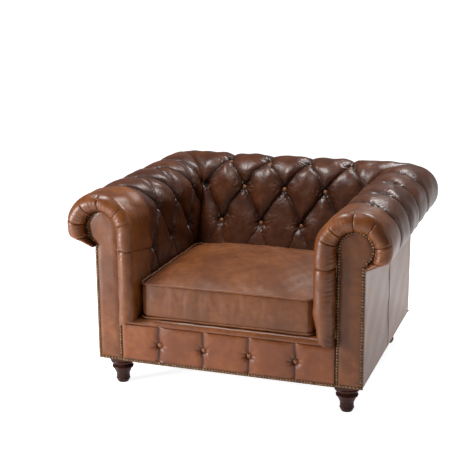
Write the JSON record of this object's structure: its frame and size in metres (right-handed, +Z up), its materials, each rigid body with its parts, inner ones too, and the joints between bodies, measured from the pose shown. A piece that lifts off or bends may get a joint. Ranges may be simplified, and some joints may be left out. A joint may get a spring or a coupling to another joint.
{
  "type": "upholstered armchair",
  "caption": "Wide deep-buttoned leather armchair with rolled arms and back at one height, a loose seat cushion, nail-trimmed arm fronts and turned wooden feet.",
  "frame": {"origin": "point on the floor under the middle of the chair", "axes": "+Z up, the chair faces -Y, +X to the right as seen from the front; left_ parts are on -X"},
  "size_m": [1.17, 1, 0.73],
  "materials": {
    "hardwood": "matte",
    "zinc_steel": "satin",
    "spring_steel": "satin",
    "jute_webbing": "matte",
    "foam": "matte",
    "brown_leather": "satin",
    "border_leather": "satin",
    "cushion_leather": "satin",
    "button_leather": "satin",
    "antique_brass": "satin",
    "dust_cloth": "matte",
    "dark_wood": "gloss",
    "glide_nylon": "matte",
    "zip_tape": "matte",
    "zip_metal": "satin"
  },
  "bodies": {
    "chair": {"front_rail": "hardwood", "back_rail": "hardwood", "left_side_rail": "hardwood", "right_side_rail": "hardwood", "corner_blocks": "hardwood", "corner_screws": "zinc_steel", "left_front_post": "hardwood", "right_front_post": "hardwood", "left_rear_post": "hardwood", "right_rear_post": "hardwood", "left_scroll_board": "hardwood", "right_scroll_board": "hardwood", "left_arm_rail": "hardwood", "right_arm_rail": "hardwood", "back_top_rail": "hardwood", "left_arm_tack_rail": "hardwood", "right_arm_tack_rail": "hardwood", "back_tack_rail": "hardwood", "seat_springs": "spring_steel", "spring_clips": "spring_steel", "left_arm_webbing": "jute_webbing", "right_arm_webbing": "jute_webbing", "back_webbing": "jute_webbing", "deck_pad": "foam", "edge_roll": "foam", "front_lip": "brown_leather", "front_border": "border_leather", "border_foam": "foam", "front_border_buttons": "button_leather", "left_arm_foam": "foam", "right_arm_foam": "foam", "back_foam": "foam", "left_arm_cover": "brown_leather", "right_arm_cover": "brown_leather", "back_cover": "brown_leather", "left_arm_buttons": "button_leather", "right_arm_buttons": "button_leather", "back_buttons": "button_leather", "left_front_roll": "brown_leather", "right_front_roll": "brown_leather", "left_facing": "brown_leather", "right_facing": "brown_leather", "left_facing_nails": "antique_brass", "right_facing_nails": "antique_brass", "front_nails": "antique_brass", "outside_left_arm": "brown_leather", "outside_right_arm": "brown_leather", "outside_back": "brown_leather", "dust_cover": "dust_cloth", "front_left_foot": "dark_wood", "front_right_foot": "dark_wood", "rear_left_foot": "dark_wood", "rear_right_foot": "dark_wood", "foot_bolts": "zinc_steel", "foot_plates": "spring_steel", "foot_glides": "glide_nylon"},
    "cushion": {"cushion_core": "foam", "cushion_cover": "cushion_leather", "cushion_zip": "zip_tape"},
    "slider": {"zip_slider": "zip_metal"}
  },
  "joints": [
    {"name": "cushion_lift", "type": "slide", "parent": "chair", "child": "cushion", "axis": [0, 0, 1], "range_m": [0, 0.4]},
    {"name": "zip_travel", "type": "slide", "parent": "cushion", "child": "slider", "axis": [1, 0, 0], "range_m": [0, 0.48]}
  ]
}
